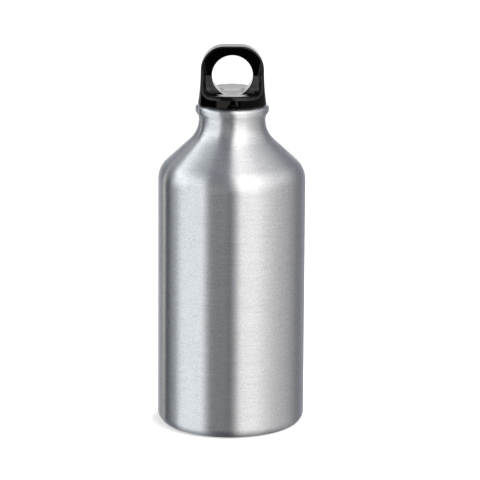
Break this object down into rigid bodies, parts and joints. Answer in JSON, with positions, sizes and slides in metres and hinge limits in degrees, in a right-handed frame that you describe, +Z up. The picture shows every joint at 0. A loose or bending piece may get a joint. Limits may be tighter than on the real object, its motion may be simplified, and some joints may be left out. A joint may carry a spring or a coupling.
{
  "type": "drinking bottle",
  "caption": "Rigid brushed-aluminium drinking bottle with a rolled rim and a glossy black screw stopper that carries a finger loop.",
  "frame": {"origin": "centre of the foot, on the surface that the bottle stands on", "axes": "+Z up along the bottle's axis; the finger hole of the closed cap runs along Y; X is across the loop"},
  "size_m": [0.066, 0.066, 0.1734],
  "materials": {
    "brushed_aluminium": "satin, brushed round the body, clear-lacquered",
    "natural_plastic": "natural polypropylene, matt",
    "seal_rubber": "soft silicone, matt",
    "matt_black_plastic": "moulded, matt",
    "gloss_black_plastic": "moulded, high gloss"
  },
  "bodies": {
    "bottle": {"bottle_shell": "brushed_aluminium", "neck_thread_insert": "natural_plastic"},
    "cap_rise": {"seal_ring": "seal_rubber"},
    "cap": {"cap_plug": "matt_black_plastic", "cap_shell": "gloss_black_plastic"}
  },
  "joints": [
    {"name": "cap_lift", "type": "slide", "parent": "bottle", "child": "cap_rise", "axis": [0, 0, 1], "range_m": [0, 0.02]},
    {"name": "cap_turn", "type": "hinge", "parent": "cap_rise", "child": "cap", "pos_m": [0, 0, 0.1473], "axis": [0, 0, 1], "range_deg": [0, 1800]}
  ],
  "couplings": [
    {"joint": "cap_lift", "follows": "cap_turn", "m_per_rad": 0.00063662}
  ]
}
